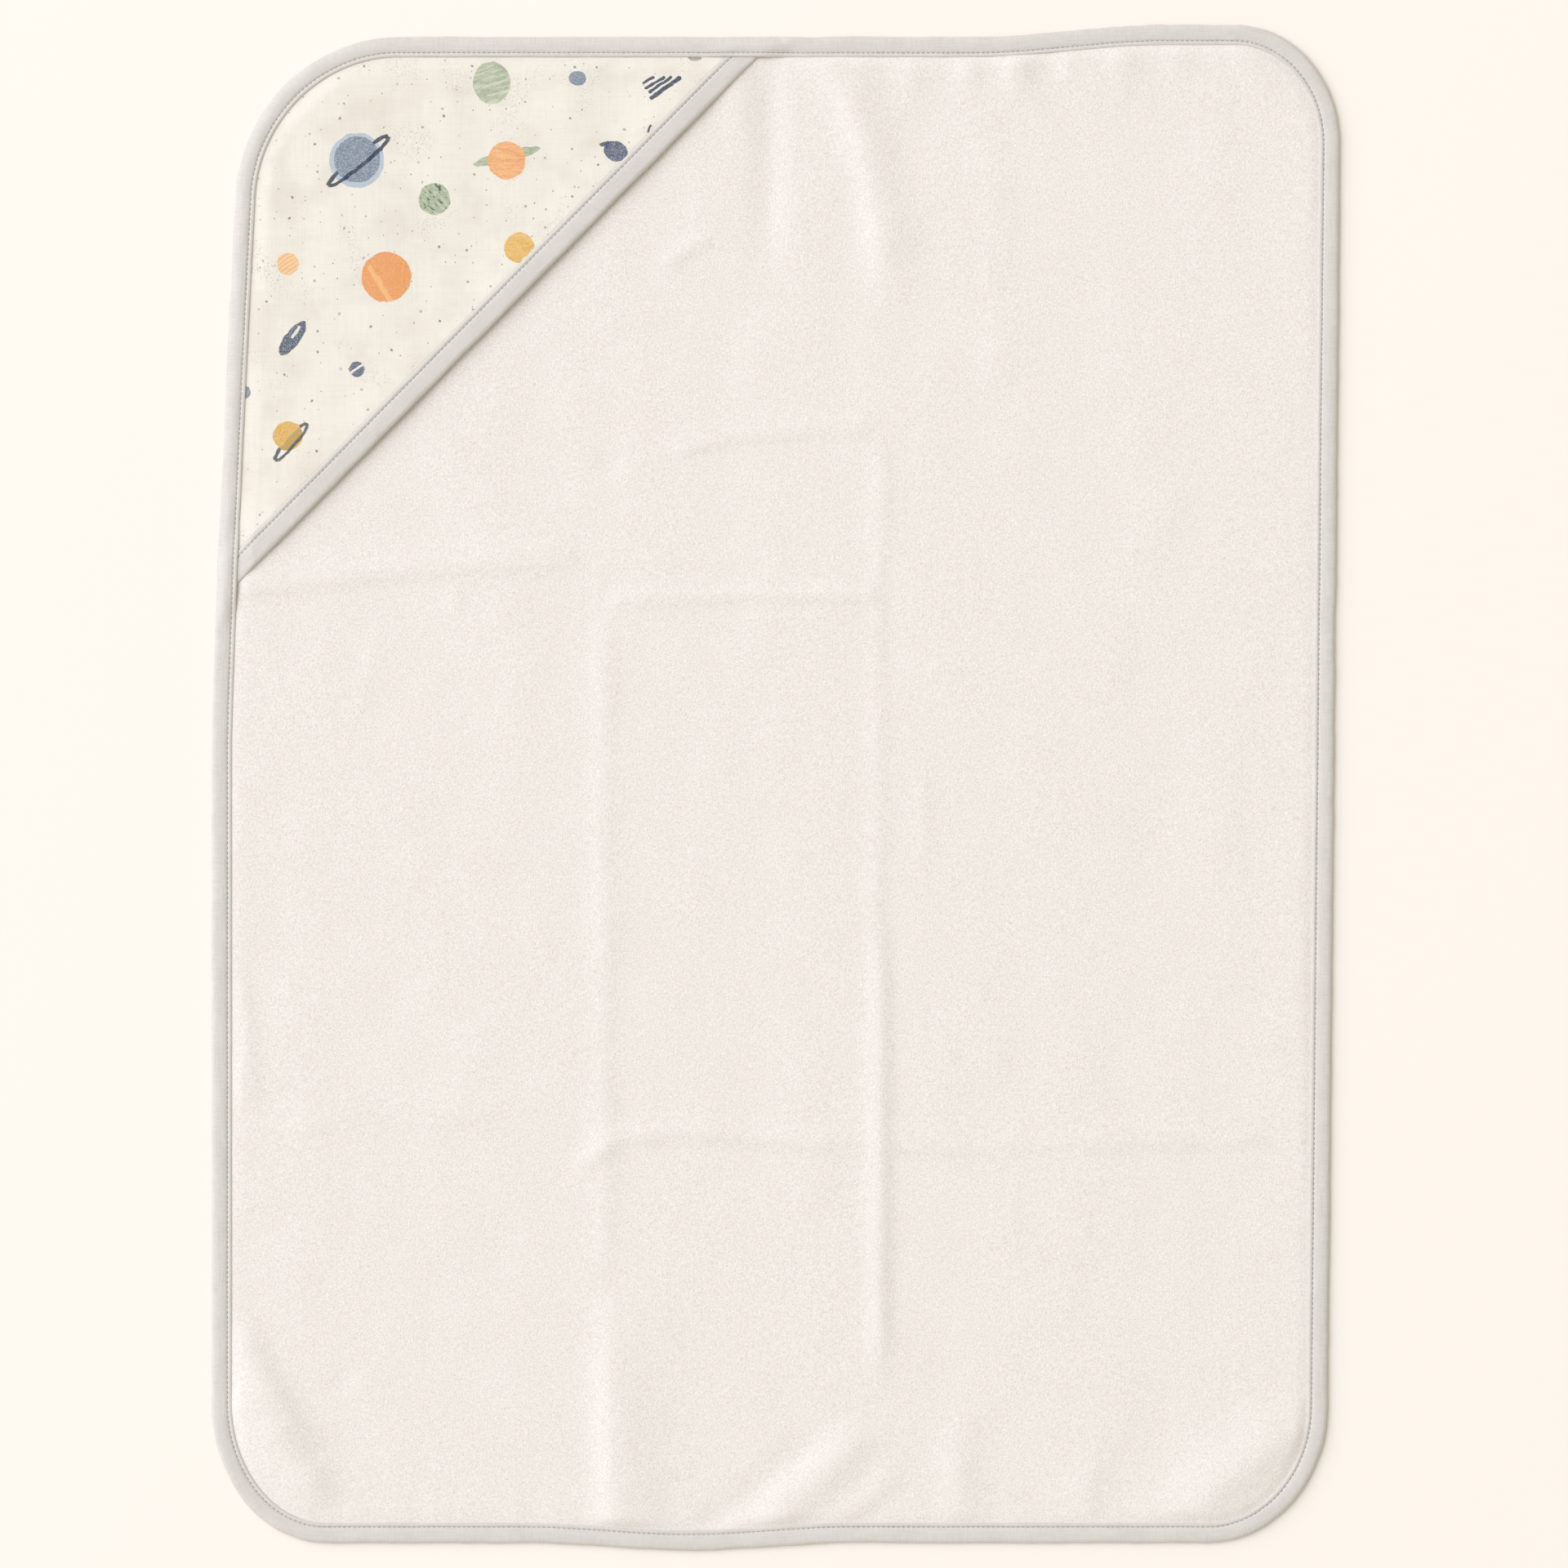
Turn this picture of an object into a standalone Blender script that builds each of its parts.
"""Hooded baby towel, laid flat with its hood corner at the top left.

+Z is up, +Y points to the hood end and +X to the right. The towel rests on z = 0, and the origin is
below the middle of its outline. Every cloth layer and every thread is a closed solid of its own.
"""

import math

import bmesh
import bpy
from mathutils import Vector

# Driving dimensions of the cut towel, in metres
TOWEL_WIDTH = 0.7355
TOWEL_LENGTH = 0.9870
CORNER_SPANS = {  # width and length of each rounded corner
    "foot_left": (0.075, 0.092),
    "foot_right": (0.078, 0.088),
    "head_right": (0.072, 0.078),
    "head_left": (0.104, 0.104),
}

# How the laid cloth differs from its cut shape: small pulls and sags, in metres
HOOD_SIDE_PULL = 0.021
HOOD_SIDE_PULL_FROM = 0.030
HOOD_SIDE_PULL_POWER = 1.2
RIGHT_SIDE_LEAN = 0.010
HEAD_STRETCH = 0.008
HEAD_STRETCH_RANGE = (0.120, 0.250)
FOOT_SAG = 0.005
FOOT_SAG_MIDDLE = -0.054
FOOT_SAG_REACH = 0.110

# Cloth thicknesses, and the gap that touching layers keep
TERRY_THICKNESS = 0.0034
SEAM_LOW = 0.0017
SEAM_HIGH = 0.0032
SEAM_RAMP = (0.015, 0.028)
LINING_THICKNESS = 0.0010
PRINT_THICKNESS = 0.0005
TAPE_WIDTH = 0.0134
TAPE_THICKNESS = 0.0009
FOLD_INSET = 0.0018  # where a tape's flat faces start, in from its fold
FOLD_WALL = 0.0006  # how much further in its inner faces start
FOLD_ROUNDING = (0.0005, 0.65)  # inset, and share of the half height, of the point that rounds its fold
LAYER_GAP = 0.0003
EDGE_ALLOWANCE = 0.0030  # how far a panel's raw edge stays inside the fold of its tape

# Hood: its free edge is a straight line from the left side to the head side
HOOD_FREE_EDGE = (Vector((-0.3538, 0.1436)), Vector((-0.0217, 0.4800)))
HOOD_BASE = TERRY_THICKNESS + LAYER_GAP
HOOD_LIFT = 0.0090
HOOD_LIFT_TAPER = 1.2
HOOD_TAPE_TUCK = 0.0085
HOOD_PANEL_START = 0.016
HOOD_TAPE_HEIGHT = 2 * TAPE_THICKNESS + 3 * LAYER_GAP + LINING_THICKNESS + PRINT_THICKNESS
LINING_RISE = TAPE_THICKNESS + LAYER_GAP
LINING_SETTLE = 0.007
LIFT_START = 0.016
LIFT_BLEND = 0.040
LIFT_FLAT_BAND = 0.008
CROSSING_FLAT = 0.0125
CROSSING_RAMP = 0.010
CROSSING_SPACING = 1.05 * CROSSING_FLAT  # between the outline's points at a crossing
CROSSING_CLEAR = 0.02  # share of a side, beyond those points, with no others

# Stitching: a ribbon of thread in a shallow channel of the tape
STITCH_INSET = 0.0104
THREAD_WIDTH = 0.0004
THREAD_THICKNESS = 0.0002
CHANNEL_WIDTH = 0.0010
CHANNEL_DEPTH = 0.0005

# Care label, caught in the foot hem on the back
LABEL_WIDTH = 0.034
LABEL_LENGTH = 0.046
LABEL_THICKNESS = 0.0002
LABEL_MIDDLE = -0.182
LABEL_TUCK = 0.0085
LABEL_BEND = (0.0142, 0.0175)
LABEL_RECESS_DEPTH = 0.0006

# Fineness of the outline and of the hood
CORNER_STEPS = 8
LONG_SIDE_STEPS = 8
SHORT_SIDE_STEPS = 10
HOOD_STEPS = 22
HOOD_ROWS = 7
STATION_STEP = 0.0005

# Finishes: colour, roughness
TERRY_FINISH = ((0.905, 0.850, 0.800), 0.95)
LINING_FINISH = ((0.890, 0.840, 0.780), 0.95)
PRINT_FINISH = ((0.905, 0.850, 0.760), 0.85)
TAPE_FINISH = ((0.700, 0.665, 0.610), 0.80)
THREAD_FINISH = ((0.560, 0.530, 0.480), 0.60)
LABEL_FINISH = ((0.880, 0.880, 0.860), 0.55)


def smooth_step(value):
    """0 below 0, 1 above 1, and an easy S in between."""
    value = max(0.0, min(1.0, value))
    return value * value * (3 - 2 * value)


def side_positions(along_y):
    """x of the left and right edge of the laid towel at a distance along its length."""
    pull = max(0.0, (along_y - HOOD_SIDE_PULL_FROM) / (TOWEL_LENGTH / 2 - HOOD_SIDE_PULL_FROM))
    left = -TOWEL_WIDTH / 2 + HOOD_SIDE_PULL * pull**HOOD_SIDE_PULL_POWER
    right = TOWEL_WIDTH / 2 + RIGHT_SIDE_LEAN * along_y
    return left, right


def end_positions(along_x):
    """y of the foot and head edge of the laid towel at a distance along its width."""
    start, stop = HEAD_STRETCH_RANGE
    head = TOWEL_LENGTH / 2 + HEAD_STRETCH * smooth_step((along_x - start) / (stop - start))
    reach = min(1.0, abs(along_x - FOOT_SAG_MIDDLE) / FOOT_SAG_REACH)
    foot = -TOWEL_LENGTH / 2 - FOOT_SAG * math.cos(reach * math.pi / 2) ** 2
    return foot, head


def laid(x, y):
    """Where a point of the cut cloth comes to lie."""
    left, right = side_positions(y)
    foot, head = end_positions(x)
    across = x / TOWEL_WIDTH + 0.5
    along = y / TOWEL_LENGTH + 0.5
    return Vector((left + (right - left) * across, foot + (head - foot) * along))


def corner(centre_x, centre_y, span, first_angle):
    """Quarter of an ellipse of the cut outline, anticlockwise from first_angle."""
    points = []
    for step in range(CORNER_STEPS + 1):
        angle = first_angle + math.pi / 2 * step / CORNER_STEPS
        points.append((centre_x + span[0] * math.cos(angle), centre_y + span[1] * math.sin(angle)))
    return points


def between(first, last, steps, crossing=None):
    """Points strictly between two points of a straight side, closer together where the hood crosses."""
    shares = [step / steps for step in range(1, steps)]
    if crossing is not None:
        length = math.dist(first, last)
        offsets = [crossing + step * CROSSING_SPACING for step in range(-3, 4)]
        near = [offset / length for offset in offsets]
        first_clear = near[0] - CROSSING_CLEAR
        last_clear = near[-1] + CROSSING_CLEAR
        shares = [share for share in shares if not first_clear < share < last_clear]
        shares = sorted(shares + near)
    return [
        (first[0] + (last[0] - first[0]) * share, first[1] + (last[1] - first[1]) * share)
        for share in shares
    ]


def cut_outline():
    """The cut towel's outline, anticlockwise from the foot of its right side."""
    half_x = TOWEL_WIDTH / 2
    half_y = TOWEL_LENGTH / 2
    signs = {
        "head_right": (1, 1, 0.0),
        "head_left": (-1, 1, math.pi / 2),
        "foot_left": (-1, -1, math.pi),
        "foot_right": (1, -1, -math.pi / 2),
    }
    arcs = []
    for name, (sign_x, sign_y, first_angle) in signs.items():
        span = CORNER_SPANS[name]
        centre = (sign_x * (half_x - span[0]), sign_y * (half_y - span[1]))
        arcs.append(corner(*centre, span, first_angle))
    head_crossing = arcs[0][-1][0] - HOOD_HEAD_CROSSING
    left_crossing = arcs[1][-1][1] - HOOD_LEFT_CROSSING
    crossings = (head_crossing, left_crossing, None, None)
    steps = (SHORT_SIDE_STEPS, LONG_SIDE_STEPS, SHORT_SIDE_STEPS, LONG_SIDE_STEPS)
    points = []
    for index, arc in enumerate(arcs):
        following = arcs[(index + 1) % 4]
        points += arc + between(arc[-1], following[0], steps[index], crossings[index])
    return points


def line_point(distance, side=0.0):
    """A point along the hood's free edge, from its left end, and to the hood's side of it."""
    return HOOD_FREE_EDGE[0] + HOOD_ALONG * distance + HOOD_INWARD * side


HOOD_ALONG = (HOOD_FREE_EDGE[1] - HOOD_FREE_EDGE[0]).normalized()
HOOD_INWARD = Vector((-HOOD_ALONG.y, HOOD_ALONG.x))
HOOD_HEAD_CROSSING = HOOD_FREE_EDGE[1].x + (TOWEL_LENGTH / 2 - HOOD_FREE_EDGE[1].y)
HOOD_LEFT_CROSSING = HOOD_FREE_EDGE[0].y - (TOWEL_WIDTH / 2 + HOOD_FREE_EDGE[0].x)

LAID = [laid(x, y) for x, y in cut_outline()]
MIDDLE = Vector(
    (
        (min(p.x for p in LAID) + max(p.x for p in LAID)) / 2,
        (min(p.y for p in LAID) + max(p.y for p in LAID)) / 2,
    )
)
OUTLINE = [point - MIDDLE for point in LAID]


def outline_inward(index):
    """Unit vector that points into the towel at an outline point."""
    tangent = OUTLINE[(index + 1) % len(OUTLINE)] - OUTLINE[index - 1]
    return Vector((-tangent.y, tangent.x)).normalized()


INWARD = [outline_inward(index) for index in range(len(OUTLINE))]


def inset_point(index, distance):
    """The point a distance inside the towel's edge, square to an outline point."""
    return OUTLINE[index] + INWARD[index] * distance


def inset_of(point):
    """Distance of a point from the towel's edge."""
    nearest = TOWEL_LENGTH
    for index, end in enumerate(OUTLINE):
        start = OUTLINE[index - 1]
        run = end - start
        share = max(0.0, min(1.0, (point - start).dot(run) / run.length_squared))
        nearest = min(nearest, (point - start - run * share).length)
    return nearest


def hood_side(point):
    """Distance of a point from the middle of the hood's tape, positive on the hood."""
    return (point - HOOD_FREE_EDGE[0]).dot(HOOD_INWARD)


def hood_lift(point):
    """How far the hood stands off the towel: most at the middle of its free edge, none at its seams."""
    side = hood_side(point)
    if side < LIFT_FLAT_BAND:
        point = point + HOOD_INWARD * (LIFT_FLAT_BAND - side)
    left = min(p.x for p in OUTLINE if p.y > HOOD_FREE_EDGE[0].y)
    head = max(p.y for p in OUTLINE if p.x < HOOD_FREE_EDGE[1].x)
    from_left = max(0.0, point.x - left)
    from_head = max(0.0, head - point.y)
    both = from_left + from_head
    open_width = (HOOD_FREE_EDGE[1] - HOOD_FREE_EDGE[0]).length * math.sqrt(2) / 2
    arch = 4 * from_left * from_head / both**2
    depth = (both / (open_width + 2 * TAPE_WIDTH)) ** HOOD_LIFT_TAPER
    return HOOD_LIFT * arch * depth * smooth_step((inset_of(point) - LIFT_START) / LIFT_BLEND)


def lining_height(point):
    """Underside of the hood's lining above the floor."""
    settle = smooth_step((hood_side(point) - TAPE_WIDTH / 2) / LINING_SETTLE)
    return HOOD_BASE + hood_lift(point) + LINING_RISE * (1 - settle)


def stack_height(point):
    """Underside of the edge tape's upper half: over the towel, the hood's layers or its bound edge."""
    side = hood_side(point)
    towel = SEAM_HIGH + LAYER_GAP
    hood = HOOD_BASE + LINING_THICKNESS + PRINT_THICKNESS + 2 * LAYER_GAP
    crossing = HOOD_BASE + HOOD_TAPE_HEIGHT + LAYER_GAP
    layers = hood if side > 0 else towel
    ease = smooth_step((abs(side) - CROSSING_FLAT) / CROSSING_RAMP)
    return crossing + (layers - crossing) * ease


def tape_profile(low, top_at):
    """Section of a tape folded round a cloth edge, as (distance from the fold, height) points."""
    channel_in = STITCH_INSET + (CHANNEL_WIDTH + THREAD_WIDTH) / 2
    channel_out = channel_in - CHANNEL_WIDTH
    inner = FOLD_INSET + FOLD_WALL
    rounding_inset, rounding_share = FOLD_ROUNDING
    nose = low + (top_at(0.0) - low) / 2
    rounding = rounding_share * (top_at(0.0) - nose)
    top = [(FOLD_INSET, 0), (channel_out, 0), (channel_out, 1), (channel_in, 1), (channel_in, 0)]
    top.append((TAPE_WIDTH, 0))
    points = [(inset, low + depth * CHANNEL_DEPTH) for inset, depth in reversed(top)]
    points += [(rounding_inset, nose - rounding), (0.0, nose), (rounding_inset, nose + rounding)]
    points += [(inset, top_at(inset) - depth * CHANNEL_DEPTH) for inset, depth in top]
    points += [(TAPE_WIDTH, top_at(TAPE_WIDTH) - TAPE_THICKNESS)]
    points += [(inner, top_at(inner) - TAPE_THICKNESS)]
    points += [(inner - 2 * FOLD_WALL, nose)]
    points += [(inner, low + TAPE_THICKNESS), (TAPE_WIDTH, low + TAPE_THICKNESS)]
    return points


def thread_profile(low):
    """Section of a thread ribbon."""
    outer = STITCH_INSET
    inner = STITCH_INSET + THREAD_WIDTH
    high = low + THREAD_THICKNESS
    return [(inner, low), (outer, low), (outer, high), (inner, high)]


def finish(name, mesh, colour_and_roughness):
    """Puts a mesh in the scene under its part's name, with its finish."""
    part = bpy.data.objects.new(name, mesh)
    bpy.context.scene.collection.objects.link(part)
    colour, roughness = colour_and_roughness
    material = bpy.data.materials.new(name + "_finish")
    material.use_nodes = True
    shader = material.node_tree.nodes["Principled BSDF"]
    shader.inputs["Base Color"].default_value = (*colour, 1.0)
    shader.inputs["Roughness"].default_value = roughness
    shader.inputs["Metallic"].default_value = 0.0
    mesh.materials.append(material)
    return part


def loft(name, rings, closed, colour_and_roughness):
    """A solid skinned over rings of points: a closed loop of sections, or one with flat ends.

    Its quads are split across their shorter diagonal, so that cloth layers with the same rings stay parallel.
    """
    shape = bmesh.new()
    rows = [[shape.verts.new(point) for point in ring] for ring in rings]
    pairs = list(zip(rows, rows[1:] + rows[:1] if closed else rows[1:]))
    for first, second in pairs:
        for index in range(len(first)):
            following = (index + 1) % len(first)
            shape.faces.new((first[index], first[following], second[following], second[index]))
    if not closed:
        shape.faces.new(reversed(rows[0]))
        shape.faces.new(rows[-1])
    quads = [face for face in shape.faces if len(face.verts) == 4]
    bmesh.ops.triangulate(shape, faces=quads, quad_method="SHORT_EDGE")
    bmesh.ops.recalc_face_normals(shape, faces=shape.faces)
    mesh = bpy.data.meshes.new(name)
    shape.to_mesh(mesh)
    shape.free()
    return finish(name, mesh, colour_and_roughness)


def edge_section(index, profile):
    """A profile stood up across the towel's edge at an outline point."""
    return [(*inset_point(index, inset), height) for inset, height in profile]


def edge_top(index, inset):
    """Top of the edge tape at an outline point."""
    return stack_height(inset_point(index, inset)) + TAPE_THICKNESS


def ring(inset, height):
    """The towel's outline, moved inwards and up."""
    return [(*inset_point(index, inset), height) for index in range(len(OUTLINE))]


def make_towel_body():
    """Terry panel: flat underneath, pressed thin and lifted where the tape holds its edge."""
    held, free = SEAM_RAMP
    rings = [
        ring(free, 0.0),
        ring(held, SEAM_LOW),
        ring(EDGE_ALLOWANCE, SEAM_LOW),
        ring(EDGE_ALLOWANCE, SEAM_HIGH),
        ring(held, SEAM_HIGH),
        ring(free, TERRY_THICKNESS),
    ]
    towel = loft("towel_body", rings, False, TERRY_FINISH)
    recess = make_label_recess()
    cut = towel.modifiers.new("label_recess", "BOOLEAN")
    cut.operation = "DIFFERENCE"
    cut.solver = "EXACT"
    cut.object = recess


def make_edge_binding():
    """One tape folded round the whole edge, over the hood's two sewn sides as well."""
    sections = []
    for index in range(len(OUTLINE)):
        profile = tape_profile(0.0, lambda inset: edge_top(index, inset))
        sections.append(edge_section(index, profile))
    loft("edge_binding", sections, True, TAPE_FINISH)


def make_edge_threads():
    """Needle thread on top and bobbin thread underneath, along the edge tape."""
    needle = []
    bobbin = []
    for index in range(len(OUTLINE)):
        channel = edge_top(index, STITCH_INSET) - CHANNEL_DEPTH
        needle.append(edge_section(index, thread_profile(channel + LAYER_GAP)))
        bobbin.append(edge_section(index, thread_profile(0.0)))
    loft("edge_needle_thread", needle, True, THREAD_FINISH)
    loft("edge_bobbin_thread", bobbin, True, THREAD_FINISH)


def hood_stations(first_inset):
    """Distances along the hood's free edge, between two places that far inside the towel's edge."""
    length = (HOOD_FREE_EDGE[1] - HOOD_FREE_EDGE[0]).length
    start = 0.0
    while inset_of(line_point(start)) > first_inset:
        start -= STATION_STEP
    while inset_of(line_point(start)) < first_inset:
        start += STATION_STEP
    stop = length
    while inset_of(line_point(stop)) > first_inset:
        stop += STATION_STEP
    while inset_of(line_point(stop)) < first_inset:
        stop -= STATION_STEP
    return start, stop


PANEL_START, PANEL_STOP = hood_stations(HOOD_PANEL_START)
TAPE_START, TAPE_STOP = hood_stations(HOOD_TAPE_TUCK)
STATIONS = [
    PANEL_START + (PANEL_STOP - PANEL_START) * (1 - math.cos(math.pi * step / HOOD_STEPS)) / 2
    for step in range(HOOD_STEPS + 1)
]


def hood_section(distance, profile_at):
    """A profile stood up across the hood's free edge, at its own lift."""
    low = HOOD_BASE + hood_lift(line_point(distance))
    points = []
    for from_fold, height in profile_at(low):
        points.append((*line_point(distance, from_fold - TAPE_WIDTH / 2), height))
    return points


def make_hood_binding():
    """Tape folded round the hood's free edge, and its two lines of thread."""
    tape = []
    needle = []
    bobbin = []
    for distance in [TAPE_START, *STATIONS, TAPE_STOP]:
        tape.append(
            hood_section(distance, lambda low: tape_profile(low, lambda inset: low + HOOD_TAPE_HEIGHT))
        )
    channel = HOOD_TAPE_HEIGHT - CHANNEL_DEPTH + LAYER_GAP
    for distance in STATIONS:
        needle.append(hood_section(distance, lambda low: thread_profile(low + channel)))
        bobbin.append(hood_section(distance, thread_profile))
    loft("hood_binding", tape, False, TAPE_FINISH)
    loft("hood_needle_thread", needle, False, THREAD_FINISH)
    loft("hood_bobbin_thread", bobbin, False, THREAD_FINISH)


def seam_points():
    """Points along the hood's two sewn sides, one for each station of its free edge."""
    wanted = len(STATIONS)
    count = len(OUTLINE)
    beyond = CROSSING_FLAT
    order = [index for index in range(count) if hood_side(OUTLINE[index]) > beyond]
    first = next(index for index in order if (index - 1) % count not in order)
    chain = [inset_point((first + step) % count, EDGE_ALLOWANCE) for step in range(len(order))]
    lengths = [0.0]
    for start, end in zip(chain, chain[1:]):
        lengths.append(lengths[-1] + (end - start).length)
    points = []
    for step in range(wanted):
        target = lengths[-1] * step / (wanted - 1)
        index = max(i for i in range(len(chain) - 1) if lengths[i] <= target + 1e-9)
        share = (target - lengths[index]) / (lengths[index + 1] - lengths[index])
        points.append(chain[index].lerp(chain[index + 1], min(1.0, share)))
    return list(reversed(points))


def make_hood_panel(name, rise, thickness, colour_and_roughness):
    """One layer of the hood, from inside its tape to its sewn sides, rise above the lining's underside."""
    columns = []
    for distance, seam in zip(STATIONS, seam_points()):
        near = line_point(distance, LIFT_FLAT_BAND)
        column = [line_point(distance, EDGE_ALLOWANCE - TAPE_WIDTH / 2), near]
        for row in range(1, HOOD_ROWS + 1):
            column.append(near.lerp(seam, row / HOOD_ROWS))
        columns.append(column)
    rings = []
    for column in columns:
        lower = [(*point, lining_height(point) + rise) for point in column]
        upper = [(x, y, z + thickness) for x, y, z in reversed(lower)]
        rings.append(lower + upper)
    loft(name, rings, False, colour_and_roughness)


def label_lower_side():
    """Care label's underside, as (distance from the foot edge, height): held in the hem, then flat."""
    bend_start, bend_end = LABEL_BEND
    held = TAPE_THICKNESS + LAYER_GAP
    end = LABEL_TUCK + LABEL_LENGTH
    return [(LABEL_TUCK, held), (bend_start, held), (bend_end, 0.0), (end, 0.0)]


def foot_edge():
    """y of the foot edge where the care label is."""
    near = [p.y for p in OUTLINE if p.y < 0 and abs(p.x - LABEL_MIDDLE) < 3 * LABEL_WIDTH]
    return max(near)


def make_care_label():
    """Blank woven label on the back, its top caught between the hem's lower tape and the terry."""
    edge = foot_edge()
    lower = label_lower_side()
    upper = [(inset, height + LABEL_THICKNESS) for inset, height in reversed(lower)]
    rings = []
    for x in (LABEL_MIDDLE - LABEL_WIDTH / 2, LABEL_MIDDLE + LABEL_WIDTH / 2):
        rings.append([(x, edge + inset, height) for inset, height in lower + upper])
    loft("care_label", rings, False, LABEL_FINISH)


def make_label_recess():
    """Guide that presses the label's own place into the underside of the terry."""
    edge = foot_edge()
    start = edge + LABEL_BEND[0]
    end = edge + LABEL_TUCK + LABEL_LENGTH + 2 * LAYER_GAP
    half = LABEL_WIDTH / 2 + 2 * LAYER_GAP
    corners = [(-half, start), (half, start), (half, end), (-half, end)]
    rings = [
        [(LABEL_MIDDLE + x, y, height) for x, y in corners]
        for height in (-LABEL_RECESS_DEPTH, LABEL_RECESS_DEPTH)
    ]
    recess = loft("label_recess_guide", rings, False, LABEL_FINISH)
    recess.hide_render = True
    recess.display_type = "WIRE"
    return recess


def main():
    for old in list(bpy.data.objects):
        bpy.data.objects.remove(old, do_unlink=True)
    make_towel_body()
    make_edge_binding()
    make_edge_threads()
    make_hood_panel("hood_lining", 0.0, LINING_THICKNESS, LINING_FINISH)
    make_hood_panel("hood_print_panel", LINING_THICKNESS + LAYER_GAP, PRINT_THICKNESS, PRINT_FINISH)
    make_hood_binding()
    make_care_label()


main()
